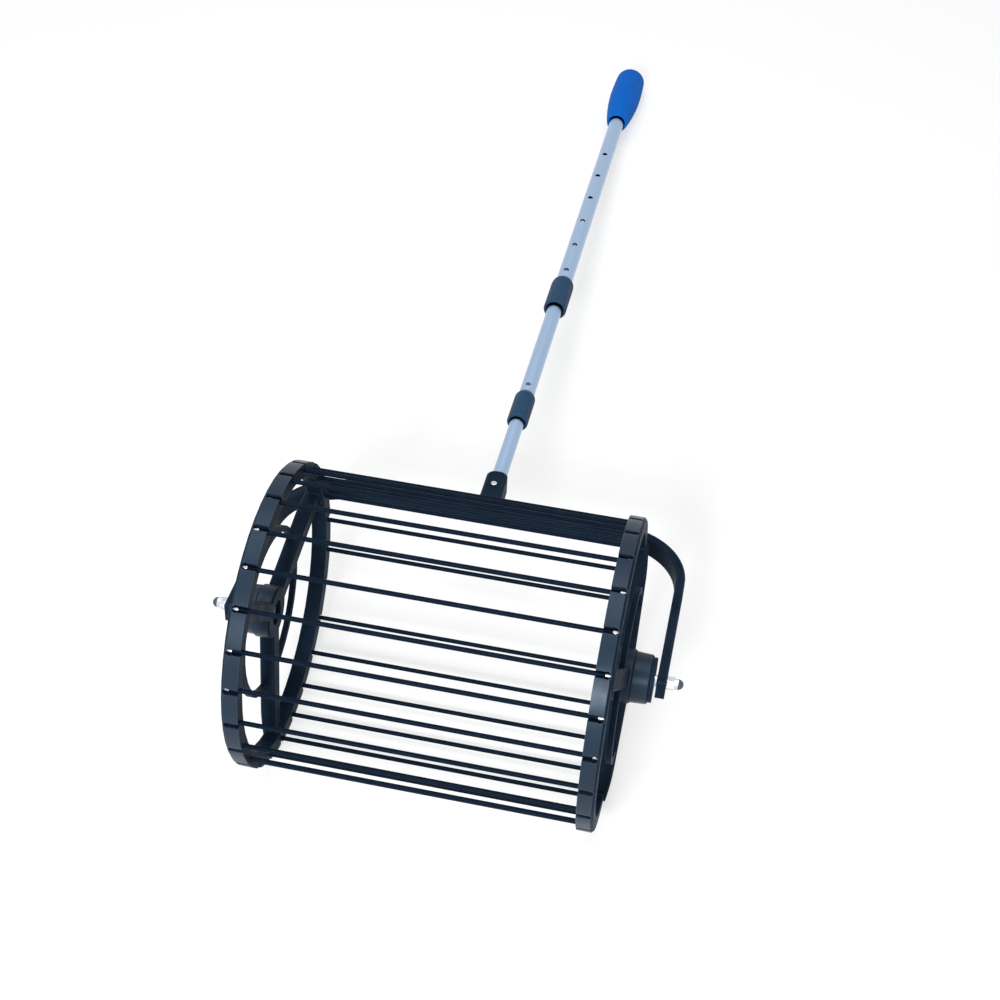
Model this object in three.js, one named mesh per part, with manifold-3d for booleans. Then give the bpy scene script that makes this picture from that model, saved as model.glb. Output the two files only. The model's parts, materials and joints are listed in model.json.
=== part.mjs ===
// Rolling ball collector: a barrel of sprung wires between two spoked end discs, which spins
// in a U-shaped yoke on two stub bolts. A telescopic pole with a foam grip pushes it along.
// Millimetres, +Z up, drum axis along X, pole towards +Y. The part stands on its rims and on
// the end of the grip, with its origin under the middle of its bounding box.

import * as THREE from 'three';
import { mergeVertices } from 'three/addons/utils/BufferGeometryUtils.js';
import Module from 'manifold-3d';

const wasm = await Module();
wasm.setup();

// Fits and cuts
const seatGap = 0.3;
const cutOverrun = 2;
const weldTolerance = 0.0001;

// Drum
const wireCount = 24;
const wireDiameter = 4;
const wireCircleRadius = 126;
const wireHeadDiameter = 5.4;
const wireEndDepth = 4.4;
const padRise = 5.5;
const facetsPerPad = 2;
const cageInnerLength = 274;
const rimWidth = 14;
const rimDepth = 12.5;
const rimOuterChamfer = 2;
const grooveFlare = 0.9;
const headPocketPlay = 0.6;
const drumTurnDegrees = 1.8;

// Spider that carries the rim on the hub
const spokeCount = 3;
const firstSpokeAngle = 9;
const spokeWidth = 16;
const spokeHubRise = 8;
const spokeShoulderRise = 5;
const spokeRootRise = 1.8;
const spokeRootInset = 5.5;
const spokeRimSink = 5;
const spokeDepth = 13;
const spokeShoulderInset = 19;
const spokeEdge = 1.4;
const guardRingShare = 0.518;
const guardRingWall = 5;
const guardRingDepth = 5;

// Hub and its stub axle
const hubRadius = 21.5;
const hubBossRise = 1.3;
const hubBossLength = 14;
const hubLength = 30;
const hubInset = 5;
const hubEdge = 1.5;
const hubPocketRadius = 11;
const hubPocketDepth = 9;
const sleeveWall = 1.7;
const boltRadius = 3;
const boltHeadAcross = 10;
const boltHeadHeight = 4;
const innerWasherPlay = 2;
const innerWasherThickness = 1.4;
const outerWasherInset = 2.5;
const outerWasherThickness = 2.6;
const nutWall = 2;
const nutHexHeight = 6;
const nutDomeInset = 0.4;
const nutNeckHeight = 3.2;

// Yoke
const outerWasherPlay = 2.4;
const armThickness = 8;
const armHeight = 20;
const armEndReach = 11;
const crossbarClearance = 36.5;
const yokeCornerRadius = 63;
const yokeEdge = 1.2;

// Socket on the crossbar
const socketSideWall = 2.8;
const socketTopWall = 4.5;
const socketRise = 46;
const socketCornerRadius = 7;
const socketEdge = 2.2;
const socketFlareWidth = 3.5;
const socketFlareLength = 13;
const socketFloor = 8;
const socketScrewDepth = 22.5;
const screwRadius = 1.6;
const screwHeadRim = 1.2;
const screwHeadHeight = 2;
const screwNutAcross = 6;
const screwNutHeight = 3.2;

// Telescopic pole: the middle tube shows for as many holes as the upper one can slide over it
const lowerTubeRadius = 7;
const tubeWall = 0.7;
const tubePlay = 0.2;
const lowerTubeShown = 89.5;
const lowerTubePastPin = 19;
const middleTubePastButton = 32;
const collarsApart = 1.4;
const lockPinPastCollar = 13;
const lockPinRadius = 2.3;
const lockPinSink = 0.5;
const firstHolePastCollar = 16.6;
const holePitch = 53.2;
const holesBeyondButton = 3;
const holesBeforeButton = 2;

// Collars at the mouths of the two outer tubes
const lowerCollarLength = 42.5;
const lowerCollarWall = 2.5;
const upperCollarLength = 52;
const upperCollarWall = 3.4;
const collarGuide = 12;
const collarLip = 1.2;
const collarMouthDepth = 4;
const collarEndWall = 0.9;

// Snap button and its leaf spring
const buttonRadius = 2.7;
const buttonDome = 1.4;
const buttonSink = 0.15;
const buttonTravel = 3;
const buttonFlangeRim = 0.7;
const buttonFlangeThickness = 1;
const springThickness = 0.5;
const springWidth = 5;
const springReach = 32;
const springTip = 6;

// Foam grip and the plug under its closed end
const gripPastLastHole = 97.4;
const gripLength = 125;
const gripBellyShare = 0.6;
const gripBellyWall = 10.4;
const gripMouthWall = 3.5;
const gripMouthSink = 1.5;
const gripSwellPower = 0.85;
const gripTailDraw = 1.6;
const gripEndRounding = 11;
const gripEndPad = 16;
const plugLength = 16;
const plugFlange = 1.5;
const plugWall = 1.6;

// Smoothness of the facets
const tubeSides = 28;
const hubSides = 28;
const ringSides = 36;
const wireSides = 8;
const pocketSides = 6;
const pinSides = 12;
const arcSteps = 4;
const headSteps = 3;
const gripSteps = 8;

// Finishes
const finishes = {
  blackPlastic: { color: 0x14161b, roughness: 0.42, metalness: 0 },
  greyPlastic: { color: 0x2b3a4c, roughness: 0.6, metalness: 0 },
  blackWire: { color: 0x0d0e11, roughness: 0.35, metalness: 0.2 },
  aluminium: { color: 0xb9c8d8, roughness: 0.32, metalness: 0.9 },
  steel: { color: 0xc9ccd1, roughness: 0.22, metalness: 1 },
  darkSteel: { color: 0x2a2c30, roughness: 0.4, metalness: 0.9 },
  foam: { color: 0x0b63c8, roughness: 0.9, metalness: 0 },
};

// Sizes that follow from the ones above
const radians = THREE.MathUtils.degToRad;
const wireRadius = wireDiameter / 2;
const wireHeadRadius = wireHeadDiameter / 2;
const rimInnerFace = cageInnerLength / 2;
const rimOuterFace = rimInnerFace + rimWidth;
const wireSpan = 2 * (rimOuterFace - wireEndDepth);
const padRadius = wireCircleRadius + padRise;
const rimInnerRadius = padRadius - rimDepth;
const rimSides = wireCount * facetsPerPad;
const rimCornerRadius = padRadius / Math.cos(Math.PI / rimSides);
const drumTurn = radians(drumTurnDegrees);
const spokeShoulderRadius = rimInnerRadius - spokeShoulderInset;
const guardRingRadius = hubRadius + guardRingShare * (rimInnerRadius - hubRadius);
const hubBossRadius = hubRadius + hubBossRise;
const hubInnerFace = rimOuterFace - hubInset;
const hubOuterFace = hubInnerFace + hubLength;
const hubPocketFloor = hubInnerFace + hubPocketDepth;
const boltHoleRadius = boltRadius + seatGap;
const sleeveRadius = boltHoleRadius + sleeveWall;
const hubBoreRadius = sleeveRadius + seatGap;
const innerWasherRadius = hubPocketRadius - innerWasherPlay;
const outerWasherRadius = hubRadius - outerWasherInset;
const armInnerFace = hubOuterFace + outerWasherThickness + outerWasherPlay;
const armOuterFace = armInnerFace + armThickness;
const nutBase = armOuterFace + seatGap;
const nutNeck = nutBase + nutHexHeight;
const nutDomeStart = nutNeck + nutNeckHeight;
const nutAcross = 2 * (boltRadius + nutWall);
const nutDomeRadius = nutAcross / 2 - nutDomeInset;
const yokeReach = padRadius + crossbarClearance + armThickness;
const socketHalfWidth = lowerTubeRadius + socketSideWall;
const socketHeight = 2 * (lowerTubeRadius + socketTopWall);
const socketTop = yokeReach + socketRise;
const socketBoreStart = yokeReach + socketFloor;
const socketScrewPlace = socketTop - socketScrewDepth;
const screwHeadRadius = screwRadius + screwHeadRim;
const middleTubeRadius = lowerTubeRadius + tubePlay + tubeWall;
const upperTubeRadius = middleTubeRadius + tubePlay + tubeWall;
const middleBoreRadius = middleTubeRadius - tubeWall;
const upperBoreRadius = upperTubeRadius - tubeWall;
const lowerCollarRadius = middleTubeRadius + lowerCollarWall;
const upperCollarRadius = upperTubeRadius + upperCollarWall;

// Places along the pole, from the axle
const lowerCollarStart = socketTop + lowerTubeShown;
const lowerCollarEnd = lowerCollarStart + lowerCollarLength;
const middleTubeStart = lowerCollarStart + collarGuide;
const lockPinPlace = lowerCollarEnd + lockPinPastCollar;
const lowerTubeEnd = lockPinPlace + lowerTubePastPin;
const upperCollarStart = lowerCollarEnd + holesBeyondButton * holePitch + collarsApart;
const upperCollarEnd = upperCollarStart + upperCollarLength;
const upperTubeStart = upperCollarStart + collarGuide;
const buttonPlace = upperCollarEnd + firstHolePastCollar + holesBeforeButton * holePitch;
const middleTubeEnd = buttonPlace + middleTubePastButton;
const gripStart = buttonPlace + holesBeyondButton * holePitch + gripPastLastHole;
const gripEnd = gripStart + gripLength;
const gripBellyPlace = gripStart + gripBellyShare * gripLength;
const upperTubeEnd = gripEnd - gripEndPad;

// Radii along the pole that follow from its tubes
const buttonHoleRadius = buttonRadius + seatGap;
const buttonFlangeRadius = buttonRadius + buttonFlangeRim;
const buttonFlangeTop = Math.sqrt(middleBoreRadius ** 2 - buttonFlangeRadius ** 2) - buttonTravel - seatGap;
const gripMouthRadius = upperTubeRadius + gripMouthWall;
const gripBellyRadius = upperTubeRadius + gripBellyWall;
const gripTailRadius = gripBellyRadius - gripTailDraw;

// Closed meshes

function signedVolume(position, index) {
  const corners = [new THREE.Vector3(), new THREE.Vector3(), new THREE.Vector3()];
  let volume = 0;
  for (let i = 0; i < index.length; i += 3) {
    corners.forEach((corner, k) => corner.fromBufferAttribute(position, index[i + k]));
    volume += corners[0].dot(corners[1].cross(corners[2])) / 6;
  }
  return volume;
}

// Merge shared corners, drop the flat triangles of the poles and turn every face outwards
function weld(source) {
  const bare = source.clone();
  bare.deleteAttribute('normal');
  bare.deleteAttribute('uv');
  const merged = mergeVertices(bare, weldTolerance);
  const old = merged.index.array;
  const kept = [];
  for (let i = 0; i < old.length; i += 3) {
    const [a, b, c] = [old[i], old[i + 1], old[i + 2]];
    if (a !== b && b !== c && c !== a) kept.push(a, b, c);
  }
  if (signedVolume(merged.attributes.position, kept) < 0) kept.reverse();
  merged.setIndex(kept);
  return merged;
}

function toSolid(geometry) {
  const welded = weld(geometry);
  return new wasm.Manifold(new wasm.Mesh({
    numProp: 3,
    vertProperties: new Float32Array(welded.attributes.position.array),
    triVerts: new Uint32Array(welded.index.array),
  }));
}

function toGeometry(solid) {
  const mesh = solid.getMesh();
  const geometry = new THREE.BufferGeometry();
  geometry.setAttribute('position', new THREE.BufferAttribute(new Float32Array(mesh.vertProperties), 3));
  geometry.setIndex(new THREE.BufferAttribute(new Uint32Array(mesh.triVerts), 1));
  return geometry;
}

function join(geometries) {
  return toGeometry(geometries.map(toSolid).reduce((whole, next) => whole.add(next)));
}

function cut(body, cutters) {
  const tools = cutters.map(toSolid).reduce((whole, next) => whole.add(next));
  return toGeometry(toSolid(body).subtract(tools));
}

// Turned shapes: each profile point is [place along the axis, radius]

function turnedAlongY(profile, sides) {
  return new THREE.LatheGeometry(profile.map(([along, radius]) => new THREE.Vector2(radius, along)), sides);
}

function turnedAlongX(profile, sides, phase = 0) {
  return turnedAlongY(profile, sides).rotateY(phase).rotateZ(-Math.PI / 2);
}

function closedProfile(points) {
  return [...points, points[0]];
}

function hollowCylinder(start, end, inner, outer) {
  return closedProfile([[start, inner], [start, outer], [end, outer], [end, inner]]);
}

// A straight pin along Z from low to high, for pins, cutters and screw shanks
function pinAlongZ(radius, low, high, sides = pinSides) {
  return new THREE.CylinderGeometry(radius, radius, high - low, sides)
    .rotateX(Math.PI / 2)
    .translate(0, 0, (low + high) / 2);
}

// A six-sided prism along Z, sized across its flats
function hexAlongZ(across, low, high) {
  return pinAlongZ(across / 2 / Math.cos(Math.PI / 6), low, high, 6);
}

// An outline of [x, y] points as a shape
function outline(points) {
  return new THREE.Shape(points.map(([x, y]) => new THREE.Vector2(x, y)));
}

// A plate of the given outline, centred on z = 0, with chamfered edges
function plate(shape, height, edge, curveSegments = arcSteps) {
  return new THREE.ExtrudeGeometry(shape, {
    depth: height - 2 * edge,
    bevelEnabled: edge > 0,
    bevelThickness: edge,
    bevelSize: edge,
    bevelOffset: -edge,
    bevelSegments: 1,
    curveSegments,
  }).translate(0, 0, edge - height / 2);
}

// End discs

function padRim() {
  const profile = closedProfile([
    [rimInnerFace, rimInnerRadius],
    [rimInnerFace, rimCornerRadius],
    [rimOuterFace - rimOuterChamfer, rimCornerRadius],
    [rimOuterFace, rimCornerRadius - rimOuterChamfer],
    [rimOuterFace, rimInnerRadius],
  ]);
  return turnedAlongX(profile, rimSides, Math.PI / rimSides + drumTurn);
}

// One groove for a wire, open outwards, with flared edges and a pocket for the wire's head
function grooveCutters(angle) {
  const half = wireRadius + seatGap;
  const floor = wireCircleRadius - half;
  const mouth = rimCornerRadius - grooveFlare;
  const top = mouth + cutOverrun;
  const section = outline([
    [half, floor],
    [half, mouth],
    [half + cutOverrun, top],
    [-half - cutOverrun, top],
    [-half, mouth],
    [-half, floor],
  ]);
  const headPlace = wireSpan / 2;
  const groove = new THREE.ExtrudeGeometry(section, {
    depth: headPlace - rimInnerFace + cutOverrun,
    bevelEnabled: false,
  })
    .rotateZ(Math.PI / 2)
    .rotateY(Math.PI / 2)
    .rotateX(-Math.PI / 2)
    .translate(rimInnerFace - cutOverrun, 0, 0);
  const pocketRadius = wireHeadRadius + headPocketPlay;
  const pocket = pinAlongZ(pocketRadius, wireCircleRadius - pocketRadius, top, pocketSides)
    .translate(headPlace, 0, 0);
  return [groove, pocket].map((cutter) => cutter.rotateX(angle - Math.PI / 2));
}

function wireAngles() {
  return Array.from({ length: wireCount }, (_, i) => drumTurn + (i + 0.5) * 2 * Math.PI / wireCount);
}

// A spoke laps over the rim's outer face and bows out to the hub
function spoke(angle) {
  const root = (hubPocketRadius + hubRadius) / 2;
  const tip = rimInnerRadius + spokeRimSink / 2;
  const lap = padRadius - spokeRootInset;
  const bend = (spokeShoulderRadius + tip) / 2;
  const outer = rimOuterFace + spokeHubRise;
  const shoulder = rimOuterFace + spokeShoulderRise;
  const shape = new THREE.Shape();
  shape.moveTo(outer, root);
  shape.lineTo(shoulder, spokeShoulderRadius);
  shape.quadraticCurveTo(shoulder - spokeEdge / 2, bend, rimOuterFace + spokeRootRise, lap);
  shape.lineTo(rimOuterFace - rimOuterChamfer, lap);
  shape.lineTo(rimOuterFace - spokeDepth + rimOuterChamfer, tip);
  shape.quadraticCurveTo(shoulder - spokeDepth, bend, shoulder - spokeDepth, spokeShoulderRadius);
  shape.lineTo(outer - spokeDepth, root);
  return plate(shape, spokeWidth, spokeEdge).rotateX(angle);
}

function guardRing() {
  const half = guardRingWall / 2;
  return turnedAlongX(hollowCylinder(rimOuterFace, rimOuterFace + guardRingDepth,
    guardRingRadius - half, guardRingRadius + half), ringSides);
}

function hub() {
  const bossEnd = hubInnerFace + hubBossLength;
  return turnedAlongX(closedProfile([
    [hubInnerFace, hubPocketRadius],
    [hubInnerFace, hubBossRadius - hubEdge],
    [hubInnerFace + hubEdge, hubBossRadius],
    [bossEnd, hubBossRadius],
    [bossEnd + hubEdge, hubRadius],
    [hubOuterFace - hubEdge, hubRadius - hubEdge / 2],
    [hubOuterFace, hubRadius - 1.5 * hubEdge],
    [hubOuterFace, hubBoreRadius],
    [hubPocketFloor, hubBoreRadius],
    [hubPocketFloor, hubPocketRadius],
  ]), hubSides);
}

function endDisc() {
  const spokes = Array.from({ length: spokeCount }, (_, i) =>
    spoke(drumTurn + radians(firstSpokeAngle) + i * 2 * Math.PI / spokeCount));
  const body = join([padRim(), guardRing(), hub(), ...spokes]);
  const pocket = turnedAlongX(
    [[hubInnerFace - cutOverrun, 0], [hubInnerFace - cutOverrun, hubPocketRadius],
      [hubPocketFloor, hubPocketRadius], [hubPocketFloor, 0]], hubSides);
  return cut(body, [pocket, ...wireAngles().flatMap(grooveCutters)]);
}

// Wires: a rod with a small ball head at each end
function wire() {
  const neck = Math.sqrt(wireHeadRadius ** 2 - wireRadius ** 2);
  const end = wireSpan / 2;
  const head = [];
  for (let i = 0; i <= headSteps; i += 1) {
    const turn = (i / headSteps) * (Math.PI - Math.atan2(wireRadius, neck));
    head.push([end + wireHeadRadius * Math.cos(turn), wireHeadRadius * Math.sin(turn)]);
  }
  head[0][1] = 0;
  const tail = head.map(([along, radius]) => [-along, radius]).reverse();
  return turnedAlongX([...head, ...tail], wireSides);
}

// Stub axles, each drawn on the right and facing outwards

function axleBolt() {
  const headEnd = hubPocketFloor - innerWasherThickness - 2 * seatGap;
  const headStart = headEnd - boltHeadHeight;
  const head = hexAlongZ(boltHeadAcross, headStart, headEnd).rotateY(Math.PI / 2);
  const shank = pinAlongZ(boltRadius, headEnd - boltHeadHeight / 2, nutDomeStart).rotateY(Math.PI / 2);
  return join([head, shank]);
}

function innerWasher() {
  const end = hubPocketFloor - seatGap;
  const profile = hollowCylinder(end - innerWasherThickness, end, boltHoleRadius, innerWasherRadius);
  return turnedAlongX(profile, pinSides);
}

function axleSleeve() {
  const profile = hollowCylinder(hubPocketFloor, armInnerFace - seatGap, boltHoleRadius, sleeveRadius);
  return turnedAlongX(profile, pinSides);
}

function outerWasher() {
  const start = hubOuterFace + seatGap;
  return turnedAlongX(
    hollowCylinder(start, start + outerWasherThickness, hubBoreRadius, outerWasherRadius), tubeSides);
}

function domeNut() {
  const sunk = nutBase + nutHexHeight / 2;
  const dome = [[sunk, 0], [sunk, nutDomeRadius], [nutDomeStart, nutDomeRadius]];
  for (let i = 1; i <= arcSteps; i += 1) {
    const turn = (i / arcSteps) * Math.PI / 2;
    dome.push([nutDomeStart + nutDomeRadius * Math.sin(turn), nutDomeRadius * Math.cos(turn)]);
  }
  dome[dome.length - 1][1] = 0;
  const hex = hexAlongZ(nutAcross, nutBase, nutNeck).rotateY(Math.PI / 2);
  const body = join([hex, turnedAlongX(dome, pinSides)]);
  const bore = pinAlongZ(boltHoleRadius, nutBase - cutOverrun, nutDomeStart + seatGap).rotateY(Math.PI / 2);
  return cut(body, [bore]);
}

// Yoke: a flat bar bent round the drum, with the pole's socket moulded on its crossbar

function yokeOutline() {
  const inner = yokeCornerRadius - armThickness;
  const bendX = armOuterFace - yokeCornerRadius;
  const bendY = yokeReach - yokeCornerRadius;
  const shape = new THREE.Shape();
  shape.moveTo(armOuterFace, -armEndReach);
  shape.lineTo(armOuterFace, bendY);
  shape.absarc(bendX, bendY, yokeCornerRadius, 0, Math.PI / 2, false);
  shape.lineTo(-bendX, yokeReach);
  shape.absarc(-bendX, bendY, yokeCornerRadius, Math.PI / 2, Math.PI, false);
  shape.lineTo(-armOuterFace, -armEndReach);
  shape.lineTo(-armInnerFace, -armEndReach);
  shape.lineTo(-armInnerFace, bendY);
  shape.absarc(-bendX, bendY, inner, Math.PI, Math.PI / 2, true);
  shape.lineTo(bendX, yokeReach - armThickness);
  shape.absarc(bendX, bendY, inner, Math.PI / 2, 0, true);
  shape.lineTo(armInnerFace, -armEndReach);
  return shape;
}

function socketOutline() {
  const base = yokeReach - armThickness / 2;
  const flareEnd = yokeReach + socketFlareLength;
  const shoulder = socketTop - socketCornerRadius;
  const wide = socketHalfWidth + socketFlareWidth;
  const cornerX = socketHalfWidth - socketCornerRadius;
  const shape = new THREE.Shape();
  shape.moveTo(wide, base);
  shape.lineTo(wide, yokeReach);
  shape.quadraticCurveTo(socketHalfWidth, yokeReach, socketHalfWidth, flareEnd);
  shape.lineTo(socketHalfWidth, shoulder);
  shape.absarc(cornerX, shoulder, socketCornerRadius, 0, Math.PI / 2, false);
  shape.lineTo(-cornerX, socketTop);
  shape.absarc(-cornerX, shoulder, socketCornerRadius, Math.PI / 2, Math.PI, false);
  shape.lineTo(-socketHalfWidth, flareEnd);
  shape.quadraticCurveTo(-socketHalfWidth, yokeReach, -wide, yokeReach);
  shape.lineTo(-wide, base);
  return shape;
}

function yoke() {
  const bar = plate(yokeOutline(), armHeight, yokeEdge, 2 * arcSteps);
  const socket = plate(socketOutline(), socketHeight, socketEdge);
  const tubeBore = turnedAlongY(
    [[socketBoreStart, 0], [socketBoreStart, lowerTubeRadius + seatGap],
      [socketTop + cutOverrun, lowerTubeRadius + seatGap], [socketTop + cutOverrun, 0]], tubeSides);
  const screwHole = pinAlongZ(screwRadius + seatGap, -socketHeight, socketHeight)
    .translate(0, socketScrewPlace, 0);
  const nutPocket = hexAlongZ(screwNutAcross + 2 * seatGap, -socketHeight, screwNutHeight - socketHeight / 2)
    .translate(0, socketScrewPlace, 0);
  const axleHole = pinAlongZ(boltHoleRadius, -armOuterFace - cutOverrun, armOuterFace + cutOverrun)
    .rotateY(Math.PI / 2);
  return cut(join([bar, socket]), [tubeBore, screwHole, nutPocket, axleHole]);
}

function socketScrew() {
  const seat = socketHeight / 2 + seatGap;
  const top = seat + screwHeadHeight;
  const profile = [[seat, 0], [seat, screwHeadRadius], [seat + screwHeadHeight / 2, screwHeadRadius],
    [top, screwHeadRadius / 2], [top, 0]];
  const head = turnedAlongY(profile, pinSides).rotateX(Math.PI / 2);
  const shank = pinAlongZ(screwRadius, -socketHeight / 2 + seatGap, seat + screwHeadHeight / 4);
  return join([head, shank]).translate(0, socketScrewPlace, 0);
}

function socketNut() {
  const low = -socketHeight / 2;
  const body = hexAlongZ(screwNutAcross, low, low + screwNutHeight - seatGap);
  const bore = pinAlongZ(screwRadius + seatGap, low - cutOverrun, low + screwNutHeight + cutOverrun);
  return cut(body, [bore]).translate(0, socketScrewPlace, 0);
}

// Pole tubes

function tube(start, end, radius) {
  return turnedAlongY(hollowCylinder(start, end, radius - tubeWall, radius), tubeSides);
}

function throughHole(radius, place, reach) {
  return pinAlongZ(radius, -reach, reach).translate(0, place, 0);
}

function topHole(radius, place, reach) {
  return pinAlongZ(radius, 0, reach).translate(0, place, 0);
}

function lowerTube() {
  return cut(tube(socketBoreStart + seatGap, lowerTubeEnd, lowerTubeRadius), [
    throughHole(screwRadius + seatGap, socketScrewPlace, socketHeight),
    throughHole(lockPinRadius + seatGap, lockPinPlace, socketHeight),
  ]);
}

function middleTube() {
  return cut(tube(middleTubeStart, middleTubeEnd, middleTubeRadius), [
    throughHole(lockPinRadius + seatGap, lockPinPlace, socketHeight),
    topHole(buttonHoleRadius, buttonPlace, socketHeight),
  ]);
}

function upperTube() {
  const holes = [];
  for (let i = -holesBeforeButton; i <= holesBeyondButton; i += 1) {
    holes.push(topHole(buttonHoleRadius, buttonPlace + i * holePitch, socketHeight));
  }
  return cut(tube(upperTubeStart, upperTubeEnd, upperTubeRadius), holes);
}

function lockPin() {
  const reach = middleTubeRadius - lockPinSink;
  return pinAlongZ(lockPinRadius, -reach, reach).translate(0, lockPinPlace, 0);
}

// A collar grips the end of an outer tube, guides the inner one and opens to a flared mouth
function collar(start, end, radius, outerTube, innerTube, tubeEnd) {
  const rounding = radius - outerTube - seatGap - collarEndWall;
  const guide = innerTube + seatGap;
  const seat = outerTube + seatGap;
  const shoulder = [];
  for (let i = 0; i <= arcSteps; i += 1) {
    const turn = (i / arcSteps) * Math.PI / 2;
    shoulder.push([end - 3 * rounding * (1 - Math.sin(turn)), radius - rounding * (1 - Math.cos(turn))]);
  }
  return turnedAlongY(closedProfile([
    [start, radius - collarLip],
    [start + collarLip, radius],
    ...shoulder,
    [end, seat],
    [tubeEnd - seatGap, seat],
    [tubeEnd - seatGap, guide],
    [start + collarMouthDepth, guide],
    [start, radius - 2 * collarLip],
  ]), tubeSides);
}

// Snap button: a domed pin on a flange, drawn pressed in so that its tip just clears the upper bore
function snapButton() {
  const tip = upperBoreRadius - buttonSink;
  const low = buttonFlangeTop - buttonFlangeThickness;
  const profile = [[low, 0], [low, buttonFlangeRadius], [buttonFlangeTop, buttonFlangeRadius],
    [buttonFlangeTop, buttonRadius], [tip - buttonDome, buttonRadius]];
  for (let i = 1; i <= arcSteps; i += 1) {
    const turn = (i / arcSteps) * Math.PI / 2;
    profile.push([tip - buttonDome + buttonDome * Math.sin(turn), buttonRadius * Math.cos(turn)]);
  }
  profile[profile.length - 1][1] = 0;
  return turnedAlongY(profile, pinSides).rotateX(Math.PI / 2).translate(0, buttonPlace, 0);
}

// Leaf spring: a V of strip steel, its upper leg under the button and its lower leg on the tube's wall
function buttonSpring() {
  const legTop = buttonFlangeTop - buttonFlangeThickness - seatGap;
  const floor = springWidth / 2 - middleBoreRadius;
  const back = buttonPlace - springReach;
  const front = buttonPlace + springTip;
  const bend = (legTop + floor) / 2;
  const shape = outline([
    [front, legTop],
    [buttonPlace - springTip, legTop],
    [back, bend],
    [buttonPlace - springTip, floor],
    [front, floor],
    [front, floor + springThickness],
    [buttonPlace - springTip, floor + springThickness],
    [back + 3 * springThickness, bend],
    [buttonPlace - springTip, legTop - springThickness],
    [front, legTop - springThickness],
  ]);
  return new THREE.ExtrudeGeometry(shape, { depth: springWidth, bevelEnabled: false })
    .rotateY(Math.PI / 2)
    .rotateX(Math.PI / 2)
    .translate(-springWidth / 2, 0, 0);
}

// Grip: it swells from the tube to its belly, draws in a little and rounds over at the end

function gripProfile() {
  const profile = [];
  for (let i = 0; i <= gripSteps; i += 1) {
    const share = i / gripSteps;
    const swell = Math.sin(share * Math.PI / 2) ** gripSwellPower;
    profile.push([gripStart + share * (gripBellyPlace - gripStart),
      gripMouthRadius + swell * (gripBellyRadius - gripMouthRadius)]);
  }
  const tail = gripEnd - gripEndRounding;
  profile.push([(gripBellyPlace + tail) / 2, gripBellyRadius - (gripBellyRadius - gripTailRadius) / 3]);
  for (let i = 0; i <= arcSteps; i += 1) {
    const turn = (i / arcSteps) * Math.PI / 2;
    profile.push([tail + gripEndRounding * Math.sin(turn),
      gripTailRadius - gripEndRounding * (1 - Math.cos(turn))]);
  }
  return profile;
}

function grip() {
  const bore = upperTubeRadius + seatGap;
  const boreEnd = upperTubeEnd + plugFlange + 2 * seatGap;
  return turnedAlongY([
    [boreEnd, 0],
    [boreEnd, bore],
    [gripStart + gripMouthSink, bore],
    [gripStart, bore + gripMouthSink],
    ...gripProfile(),
    [gripEnd, 0],
  ], tubeSides);
}

function endPlug() {
  const bore = upperBoreRadius - seatGap;
  const flangeStart = upperTubeEnd + seatGap;
  return turnedAlongY([
    [flangeStart + plugFlange, 0],
    [flangeStart + plugFlange, upperTubeRadius],
    [flangeStart, upperTubeRadius],
    [flangeStart, bore],
    [upperTubeEnd - plugLength, bore],
    [upperTubeEnd - plugLength, bore - plugWall],
    [flangeStart, bore - plugWall],
    [flangeStart, 0],
  ], pinSides);
}

// The pole leans down until the grip touches the floor that the drum stands on
function poleTilt(axleHeight) {
  const leans = gripProfile().map(([along, radius]) =>
    Math.asin(axleHeight / Math.hypot(along, radius)) - Math.atan2(radius, along));
  return Math.min(...leans);
}

// Assembly

function named(name, geometry, finish) {
  const closed = weld(geometry);
  closed.computeVertexNormals();
  const mesh = new THREE.Mesh(closed, new THREE.MeshStandardMaterial(finish));
  mesh.name = name;
  return mesh;
}

function mirrored(geometry) {
  return geometry.clone().scale(-1, 1, 1);
}

// The same piece on both ends of the drum
function pair(label, geometry, finish) {
  return [named(`right_${label}`, geometry, finish), named(`left_${label}`, mirrored(geometry), finish)];
}

function drum() {
  const group = new THREE.Group();
  group.add(...pair('end_disc', endDisc(), finishes.blackPlastic));
  wireAngles().forEach((angle, i) => {
    const piece = wire().translate(0, wireCircleRadius, 0).rotateX(angle);
    group.add(named(`wire_${String(i + 1).padStart(2, '0')}`, piece, finishes.blackWire));
  });
  return group;
}

function pole(axleHeight) {
  const group = new THREE.Group();
  group.add(named('yoke', yoke(), finishes.blackPlastic));
  group.add(...pair('axle_bolt', axleBolt(), finishes.steel));
  group.add(...pair('inner_washer', innerWasher(), finishes.steel));
  group.add(...pair('axle_sleeve', axleSleeve(), finishes.steel));
  group.add(...pair('outer_washer', outerWasher(), finishes.blackPlastic));
  group.add(...pair('dome_nut', domeNut(), finishes.steel));
  group.add(named('socket_screw', socketScrew(), finishes.steel));
  group.add(named('socket_nut', socketNut(), finishes.steel));
  group.add(named('lower_tube', lowerTube(), finishes.aluminium));
  group.add(named('middle_tube', middleTube(), finishes.aluminium));
  group.add(named('upper_tube', upperTube(), finishes.aluminium));
  group.add(named('lock_pin', lockPin(), finishes.darkSteel));
  group.add(named('lower_collar', collar(lowerCollarStart, lowerCollarEnd, lowerCollarRadius,
    middleTubeRadius, lowerTubeRadius, middleTubeStart), finishes.greyPlastic));
  group.add(named('upper_collar', collar(upperCollarStart, upperCollarEnd, upperCollarRadius,
    upperTubeRadius, middleTubeRadius, upperTubeStart), finishes.greyPlastic));
  group.add(named('snap_button', snapButton(), finishes.steel));
  group.add(named('button_spring', buttonSpring(), finishes.steel));
  group.add(named('grip', grip(), finishes.foam));
  group.add(named('tube_end_plug', endPlug(), finishes.blackPlastic));
  group.rotation.x = -poleTilt(axleHeight);
  return group;
}

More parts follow.
